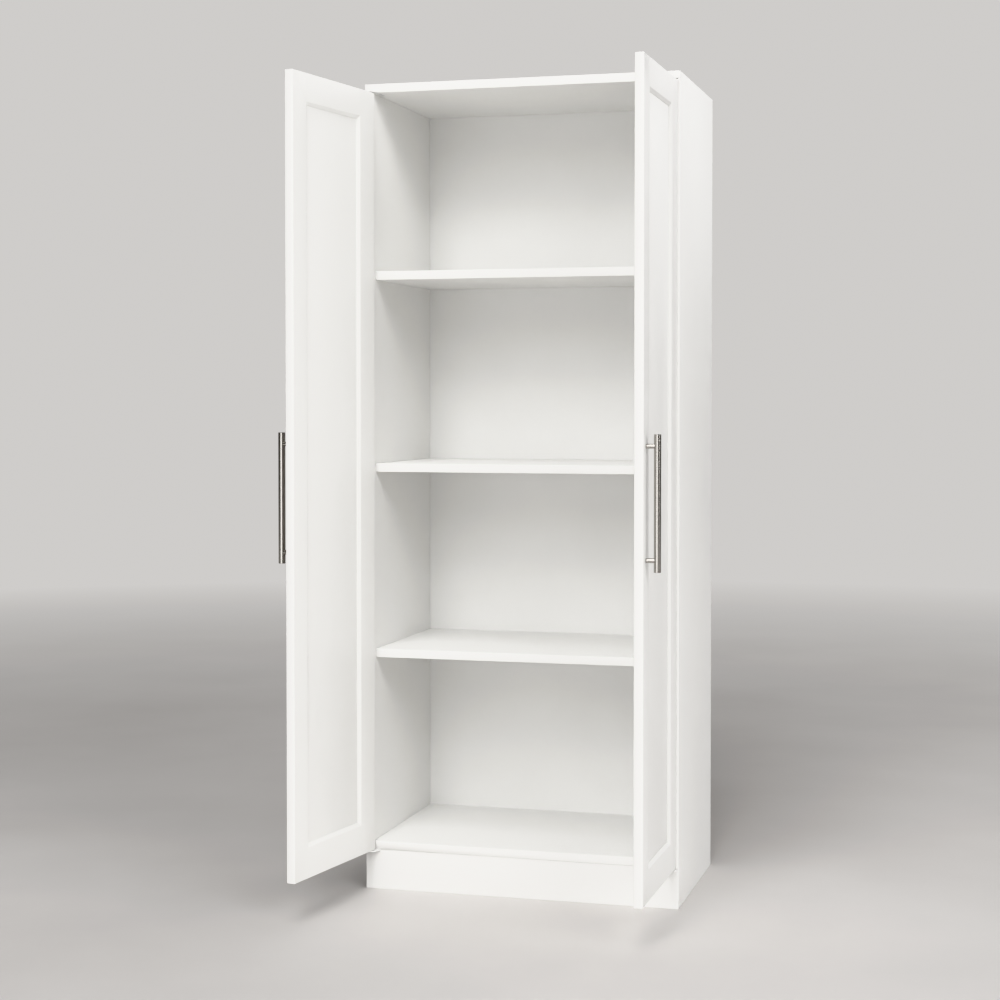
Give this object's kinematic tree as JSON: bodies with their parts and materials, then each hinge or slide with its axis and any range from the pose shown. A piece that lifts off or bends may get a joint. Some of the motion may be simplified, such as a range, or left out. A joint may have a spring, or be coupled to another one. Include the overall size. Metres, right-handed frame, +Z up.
{
  "type": "pantry cabinet",
  "caption": "Tall white pantry cabinet with framed hinged doors stored open, fixed shelves, a plinth base and brushed steel bar pulls.",
  "frame": {"origin": "middle of the plinth board's underside, on the floor at the cabinet's front", "axes": "+X to the right seen from the front, +Y back into the cabinet towards the wall, +Z up"},
  "size_m": [0.6887, 0.6614, 1.524],
  "materials": {
    "white_board": "satin white lacquer on fibreboard",
    "back_sheet": "white-faced thin hardboard",
    "brushed_steel": "brushed stainless steel",
    "white_steel": "white powder coat",
    "bright_steel": "zinc-plated steel",
    "nylon": "natural nylon"
  },
  "bodies": {
    "carcass": {"back_panel": "back_sheet", "bottom_panel": "white_board", "left_bottom_hinge_pin": "bright_steel", "left_bottom_hinge_plate": "white_steel", "left_bottom_hinge_screw_1": "bright_steel", "left_bottom_hinge_screw_2": "bright_steel", "left_side_panel": "white_board", "left_top_hinge_pin": "bright_steel", "left_top_hinge_plate": "white_steel", "left_top_hinge_screw_1": "bright_steel", "left_top_hinge_screw_2": "bright_steel", "lower_shelf": "white_board", "middle_shelf": "white_board", "plinth_board": "white_board", "rear_plinth_board": "white_board", "right_bottom_hinge_pin": "bright_steel", "right_bottom_hinge_plate": "white_steel", "right_bottom_hinge_screw_1": "bright_steel", "right_bottom_hinge_screw_2": "bright_steel", "right_side_panel": "white_board", "right_top_hinge_pin": "bright_steel", "right_top_hinge_plate": "white_steel", "right_top_hinge_screw_1": "bright_steel", "right_top_hinge_screw_2": "bright_steel", "top_panel": "white_board", "upper_shelf": "white_board"},
    "left_door": {"left_bottom_hinge_bush": "nylon", "left_bottom_hinge_stop_pin": "bright_steel", "left_door_bottom_rail": "white_board", "left_door_centre_panel": "white_board", "left_door_hinge_stile": "white_board", "left_door_lock_stile": "white_board", "left_door_top_rail": "white_board", "left_pull_bar": "brushed_steel", "left_pull_lower_post": "brushed_steel", "left_pull_lower_stud": "bright_steel", "left_pull_upper_post": "brushed_steel", "left_pull_upper_stud": "bright_steel", "left_top_hinge_bush": "nylon", "left_top_hinge_stop_pin": "bright_steel"},
    "right_door": {"right_bottom_hinge_bush": "nylon", "right_bottom_hinge_stop_pin": "bright_steel", "right_door_bottom_rail": "white_board", "right_door_centre_panel": "white_board", "right_door_hinge_stile": "white_board", "right_door_lock_stile": "white_board", "right_door_top_rail": "white_board", "right_pull_bar": "brushed_steel", "right_pull_lower_post": "brushed_steel", "right_pull_lower_stud": "bright_steel", "right_pull_upper_post": "brushed_steel", "right_pull_upper_stud": "bright_steel", "right_top_hinge_bush": "nylon", "right_top_hinge_stop_pin": "bright_steel"}
  },
  "joints": [
    {"name": "left_door_hinge", "type": "hinge", "parent": "carcass", "child": "left_door", "pos_m": [-0.2905, -0.02185, 0.7915], "axis": [0, 0, 1], "range_deg": [-10.5, 99.5]},
    {"name": "right_door_hinge", "type": "hinge", "parent": "carcass", "child": "right_door", "pos_m": [0.2905, -0.02185, 0.7915], "axis": [0, 0, -1], "range_deg": [-20.5, 89.5]}
  ]
}
